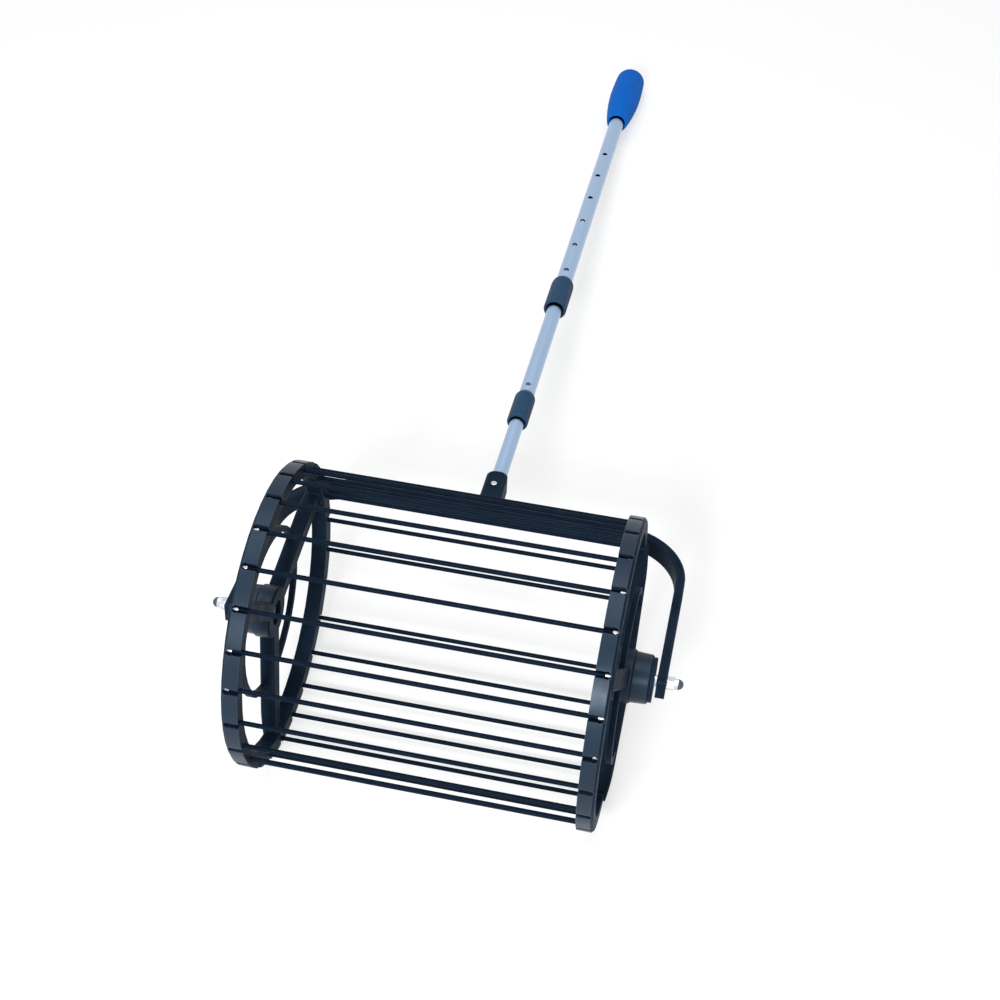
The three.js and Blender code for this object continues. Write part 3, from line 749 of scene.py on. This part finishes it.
def make_cross_screw():
    """A rounded head with a cross recess, and its shank extruded down from it."""
    low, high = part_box("socket_screw")
    radius = (high.x - low.x) / 2
    along = (node_middle("socket_screw") - AXLE).dot(POLE)
    corners = frame["nodes"]["socket_screw"].data.vertices
    heights = [(corner.co - AXLE).dot(POLE_UP) for corner in corners]
    foot, top = min(heights), max(heights)
    head_height, ledge, rounding, sides = 2 * MM, 0.42 * radius, 0.3 * radius, 32
    recess = (1.05 * radius, 0.24 * radius, 1.3 * MM)
    screw = add_round_blank(radius, head_height, sides, top - head_height)
    bpy.ops.object.mode_set(mode="EDIT")
    select_faces(screw, lambda centre, normal: normal.z < -FACING)
    bpy.ops.mesh.inset(thickness=ledge, depth=0)
    extrude_along(foot - top + head_height)
    bpy.ops.object.mode_set(mode="OBJECT")
    apply_modifier(screw, "BEVEL", width=rounding, segments=4,
                   limit_method="ANGLE", angle_limit=math.radians(60))
    for turn in (20, 110):
        deselect_all()
        bpy.ops.mesh.primitive_cube_add(size=1, location=(0, 0, top))
        blade = bpy.context.object
        blade.scale = recess
        blade.rotation_euler = (0, 0, math.radians(turn))
        bpy.ops.object.transform_apply(location=True, rotation=True, scale=True)
        apply_modifier(screw, "BOOLEAN", object=blade, operation="DIFFERENCE", solver="EXACT")
        bpy.data.objects.remove(blade)
    settle(screw, upward_matrix(along))
    smooth(screw, angle=math.radians(30))
    finish_piece(screw, "cross_head_screw", "handle_frame", "bright_steel", kept(zinc_plate),
                 "socket_screw")


def darken_dome(nut, dark):
    """Gives the outer end of a cap nut the dark finish."""
    dome_length = 5.5 * MM
    nut.data.materials.append(dark)
    reach = max(abs(corner.co.x) for corner in nut.data.vertices)
    for face in nut.data.polygons:
        face.material_index = int(abs(face.center.x) > reach - dome_length)


def make_hardware():
    """Bolts, nuts, washers, sleeves, pin, button and spring in their finishes."""
    bright = kept(zinc_plate)
    dark = kept(blackened_steel)
    shell = kept(moulded_shell)
    for side in ("right", "left"):
        dress_node(side + "_outer_washer", side + "_hub_washer", "black_plastic", shell)
        nut = dress_node(side + "_dome_nut", side + "_cap_nut", "bright_steel", bright)
        darken_dome(nut, dark)
        for label in ("axle_bolt", "inner_washer", "axle_sleeve"):
            dress_node(side + "_" + label, side + "_plated_" + label, "bright_steel", bright)
    dress_node("socket_nut", "plated_socket_nut", "bright_steel", bright)
    dress_node("snap_button", "polished_snap_button", "bright_steel", kept(button_steel),
               angle=math.radians(40))
    dress_node("button_spring", "spring_strip", "bright_steel", bright)
    dress_node("lock_pin", "blackened_lock_pin", "dark_steel", dark)
    make_cross_screw()


# Pole

def make_tubes():
    """The three pole tubes and the plug in the last one's end."""
    metal = kept(drawn_aluminium)
    shell = kept(moulded_shell)
    for node in ("lower_tube", "middle_tube", "upper_tube"):
        dress_node(node, node.replace("tube", "pole_tube"), "satin_aluminium", metal)
    dress_node("tube_end_plug", "pole_end_plug", "black_plastic", shell)


def make_collars():
    """The two grained collars at the tubes' mouths."""
    grained = kept(grained_collar)
    for node in ("lower_collar", "upper_collar"):
        name = node.replace("collar", "grained_collar")
        dress_node(node, name, "grey_plastic", grained, angle=math.radians(34))


# Grip

def grip_rings():
    """Places along the pole and radii of the foam's outside, from its mouth to its end."""
    look = scene_settings("collector_grip")
    lip_width, lip_length = 0.6 * MM, 0.5 * MM
    swell_steps, swell_power = 14, 0.85
    tail_shares, tail_power, end_steps = (0.35, 0.7), 1.6, 8
    rings = [(look.start, look.mouth_radius - lip_width),
             (look.start + lip_length, look.mouth_radius)]
    for step in range(1, swell_steps + 1):
        share = step / swell_steps
        swell = math.sin(share * math.pi / 2) ** swell_power
        rings.append((look.start + share * (look.belly - look.start),
                      look.mouth_radius + swell * (look.belly_radius - look.mouth_radius)))
    tail = look.end - look.end_rounding
    for share in tail_shares:
        narrowing = share ** tail_power * (look.belly_radius - look.tail_radius)
        rings.append((look.belly + share * (tail - look.belly), look.belly_radius - narrowing))
    for step in range(end_steps):
        turn = step / end_steps * math.pi / 2
        rings.append((tail + look.end_rounding * math.sin(turn),
                      look.tail_radius - look.end_rounding * (1 - math.cos(turn))))
    return rings


def extrude_rings(rings):
    """Extrudes the selected end face along local Z from the first ring through all the others."""
    for (last_place, last_radius), (place, radius) in zip(rings, rings[1:]):
        extrude_along(place - last_place)
        resize_across(radius / last_radius, place)


def make_grip():
    """A short blank at the mouth is extruded to the rounded end, and then bored for the tube."""
    look = scene_settings("collector_grip")
    rings = grip_rings()
    (mouth, mouth_radius), (lip, lip_radius) = rings[:2]
    bore_mouth = look.bore_radius + look.bore_flare
    flare_end = mouth + 2 * look.bore_flare
    bore_rings = ((mouth, bore_mouth), (flare_end, look.bore_radius), (look.bore_end, look.bore_radius))
    end_inset, sides = 0.3, 64  # the inset is a share of the end face's radius
    grip = add_round_blank(mouth_radius, lip - mouth, sides, mouth)
    bpy.ops.object.mode_set(mode="EDIT")
    select_faces(grip, lambda centre, normal: normal.z > FACING)
    resize_across(lip_radius / mouth_radius, lip)
    extrude_rings(rings[1:])
    bpy.ops.mesh.inset(thickness=end_inset * rings[-1][1], depth=0)
    select_faces(grip, lambda centre, normal: normal.z < -FACING)
    bpy.ops.mesh.inset(thickness=mouth_radius - bore_mouth, depth=0)
    extrude_rings(bore_rings)
    bpy.ops.mesh.inset(thickness=end_inset * look.bore_radius, depth=0)
    bpy.ops.object.mode_set(mode="OBJECT")
    apply_modifier(grip, "SUBSURF", levels=1, render_levels=1)
    settle(grip, pole_matrix())
    smooth(grip, angle=math.radians(60))
    finish_piece(grip, "foam_grip", "upper_pole", "foam", kept(foam_skin), "grip")


# Stage

def soft_lamp(name, place, aim, size, power):
    """A round area lamp that looks at a point."""
    data = bpy.data.lights.new(name, "AREA")
    data.shape = "DISK"
    data.size = size
    data.energy = power
    lamp = bpy.data.objects.new(name, data)
    lamp.location = place
    lamp.rotation_euler = (Vector(aim) - Vector(place)).to_track_quat("-Z", "Y").to_euler()
    bpy.context.scene.collection.objects.link(lamp)


def seen_directly(tree):
    """1 for what the camera, a reflection or clear material shows, 0 for what lights a surface."""
    path = tree.nodes.new("ShaderNodeLightPath")
    total = path.outputs["Is Camera Ray"]
    for ray in ("Is Glossy Ray", "Is Transmission Ray"):
        either = tree.nodes.new("ShaderNodeMath")
        either.operation = "MAXIMUM"
        tree.links.new(total, either.inputs[0])
        tree.links.new(path.outputs[ray], either.inputs[1])
        total = either.outputs["Value"]
    return total


def white_floor(name):
    """A pale floor that looks white and still keeps the object's soft shadow."""
    look = scene_settings("collector_stage")
    finish = Finish(name)
    tone = finish.noise(0.6, detail=1.0)
    pale = tuple(look.floor_colour)
    duller = tuple(0.99 * part for part in pale)
    finish.link(finish.ramp(tone, (0.0, pale), (1.0, duller)), finish.shader.inputs["Base Color"])
    finish.set(Roughness=0.9, Specular_IOR_Level=0.0)
    glow = finish.add("ShaderNodeEmission")
    glow.inputs["Strength"].default_value = look.floor_glow
    distance = finish.add("ShaderNodeVectorMath", operation="LENGTH")
    finish.link(finish.place, distance.inputs[0])
    fade = finish.calc("DIVIDE", distance.outputs["Value"], look.floor_fade)
    fade_start, far_share = 0.36, 0.93
    share = finish.ramp(fade, (fade_start, look.floor_share), (1.0, far_share))
    blend = finish.add("ShaderNodeMixShader")
    finish.link(finish.calc("MULTIPLY", seen_directly(finish.tree), share), blend.inputs["Fac"])
    finish.link(finish.shader.outputs["BSDF"], blend.inputs[1])
    finish.link(glow.outputs["Emission"], blend.inputs[2])
    finish.link(blend.outputs["Shader"], finish.tree.nodes["Material Output"].inputs["Surface"])
    return finish.material


def make_floor():
    """The floor plane, which isn't a piece."""
    deselect_all()
    bpy.ops.mesh.primitive_plane_add(size=1, location=(0, 0, 0))
    floor = bpy.context.object
    side = scene_settings("collector_stage").floor_size
    floor.scale = (side, side, 1)
    bpy.ops.object.transform_apply(location=True, rotation=True, scale=True)
    floor.name = "floor"
    floor.data.materials.append(kept(white_floor))


def make_sky():
    """Even light all round, which shows plain white where it is seen or reflected."""
    look = scene_settings("collector_stage")
    world = bpy.data.worlds.new("studio_sky")
    bpy.context.scene.world = world
    world.use_nodes = True
    tree = world.node_tree
    light = tree.nodes["Background"]
    light.inputs["Color"].default_value = (*look.sky_colour, 1)
    light.inputs["Strength"].default_value = look.sky_strength
    white = tree.nodes.new("ShaderNodeBackground")
    white.inputs["Color"].default_value = (1, 1, 1, 1)
    white.inputs["Strength"].default_value = 1.0
    choose = tree.nodes.new("ShaderNodeMixShader")
    tree.links.new(seen_directly(tree), choose.inputs["Fac"])
    tree.links.new(light.outputs["Background"], choose.inputs[1])
    tree.links.new(white.outputs["Background"], choose.inputs[2])
    tree.links.new(choose.outputs["Shader"], tree.nodes["World Output"].inputs["Surface"])


def make_camera():
    """Where the photograph was taken from, solved from the rims, the wires and the pole's holes."""
    look = scene_settings("collector_stage")
    data = bpy.data.cameras.new("camera")
    data.lens = look.lens
    data.sensor_width = look.sensor_width
    data.clip_end = look.clip_end
    camera = bpy.data.objects.new("camera", data)
    right = Vector((0.97795694, 0.20786329, 0.01982621))
    down = Vector((0.16383425, -0.70499286, -0.69003145))
    ahead = Vector((-0.12945488, 0.67806926, -0.72350779))
    turn = Matrix((right, -down, -ahead)).transposed().to_4x4()
    stand = Vector((0.21239, AXLE.y - 0.88011, 1.25509))
    camera.matrix_world = Matrix.Translation(stand) @ turn
    bpy.context.scene.collection.objects.link(camera)
    bpy.context.scene.camera = camera


# Operators

class COLLECTOR_OT_end_discs(bpy.types.Operator):
    """Smooth and finish the two moulded end discs"""
    bl_idname = "collector.end_discs"
    bl_label = "End discs"

    def execute(self, context):
        make_end_discs()
        return {"FINISHED"}


class COLLECTOR_OT_wires(bpy.types.Operator):
    """Model the sprung wires and their bright crimped tips"""
    bl_idname = "collector.wires"
    bl_label = "Sprung wires"

    def execute(self, context):
        make_wires()
        return {"FINISHED"}


class COLLECTOR_OT_yoke(bpy.types.Operator):
    """Smooth and finish the U-shaped yoke with the pole's socket"""
    bl_idname = "collector.yoke"
    bl_label = "Yoke"

    def execute(self, context):
        make_yoke()
        return {"FINISHED"}


class COLLECTOR_OT_hardware(bpy.types.Operator):
    """Finish the nuts, bolts, washers, pin and button, and model the cross-head screw"""
    bl_idname = "collector.hardware"
    bl_label = "Fasteners"

    def execute(self, context):
        make_hardware()
        return {"FINISHED"}


class COLLECTOR_OT_tubes(bpy.types.Operator):
    """Smooth and finish the three pole tubes"""
    bl_idname = "collector.tubes"
    bl_label = "Pole tubes"

    def execute(self, context):
        make_tubes()
        return {"FINISHED"}


class COLLECTOR_OT_collars(bpy.types.Operator):
    """Smooth and finish the two grained collars"""
    bl_idname = "collector.collars"
    bl_label = "Collars"

    def execute(self, context):
        make_collars()
        return {"FINISHED"}


class COLLECTOR_OT_grip(bpy.types.Operator):
    """Model the foam grip"""
    bl_idname = "collector.grip"
    bl_label = "Foam grip"

    def execute(self, context):
        make_grip()
        return {"FINISHED"}


class COLLECTOR_OT_stage(bpy.types.Operator):
    """Set up the floor, the lamps and the camera"""
    bl_idname = "collector.stage"
    bl_label = "Stage"

    def execute(self, context):
        look = context.scene.collector_stage
        context.scene.view_settings.view_transform = "Standard"
        make_floor()
        make_sky()
        overhead, in_front = (-0.2, 0.2, 2.7), (-0.15, AXLE.y - 2.1, 1.65)
        soft_lamp("top_lamp", overhead, (0, 0, 0), look.top_size, look.top_power)
        soft_lamp("front_lamp", in_front, AXLE, look.front_size, look.front_power)
        make_camera()
        return {"FINISHED"}


class COLLECTOR_PT_panel(bpy.types.Panel):
    """Lists the collector's settings and its operators"""
    bl_idname = "COLLECTOR_PT_panel"
    bl_label = "Ball collector"
    bl_space_type = "VIEW_3D"
    bl_region_type = "UI"
    bl_category = "Collector"

    def draw(self, context):
        for group in SETTINGS:
            box = self.layout.box()
            owner = getattr(context.scene, group)
            for key in type(owner).__annotations__:
                box.prop(owner, key)
        for operator in OPERATORS:
            self.layout.operator(operator.bl_idname)


OPERATORS = (
    COLLECTOR_OT_end_discs,
    COLLECTOR_OT_wires,
    COLLECTOR_OT_yoke,
    COLLECTOR_OT_hardware,
    COLLECTOR_OT_tubes,
    COLLECTOR_OT_collars,
    COLLECTOR_OT_grip,
    COLLECTOR_OT_stage,
)
SETTINGS = {
    "collector_plastic": PlasticSettings,
    "collector_wires": WireSettings,
    "collector_metal": MetalSettings,
    "collector_grip": GripSettings,
    "collector_stage": StageSettings,
}


def register():
    """Registers the settings, the operators and the panel, and puts the settings on the scene."""
    for group in SETTINGS.values():
        bpy.utils.register_class(group)
    for operator in OPERATORS:
        bpy.utils.register_class(operator)
    bpy.utils.register_class(COLLECTOR_PT_panel)
    for name, group in SETTINGS.items():
        setattr(bpy.types.Scene, name, PointerProperty(type=group))


def unregister():
    """Takes back what register did."""
    for name in SETTINGS:
        delattr(bpy.types.Scene, name)
    bpy.utils.unregister_class(COLLECTOR_PT_panel)
    for operator in reversed(OPERATORS):
        bpy.utils.unregister_class(operator)
    for group in reversed(list(SETTINGS.values())):
        bpy.utils.unregister_class(group)


def main():
    """Runs every operator in order."""
    register()
    bpy.ops.collector.end_discs()
    bpy.ops.collector.wires()
    bpy.ops.collector.yoke()
    bpy.ops.collector.hardware()
    bpy.ops.collector.tubes()
    bpy.ops.collector.collars()
    bpy.ops.collector.grip()
    bpy.ops.collector.stage()
    deselect_all()


if __name__ == "__main__":
    main()
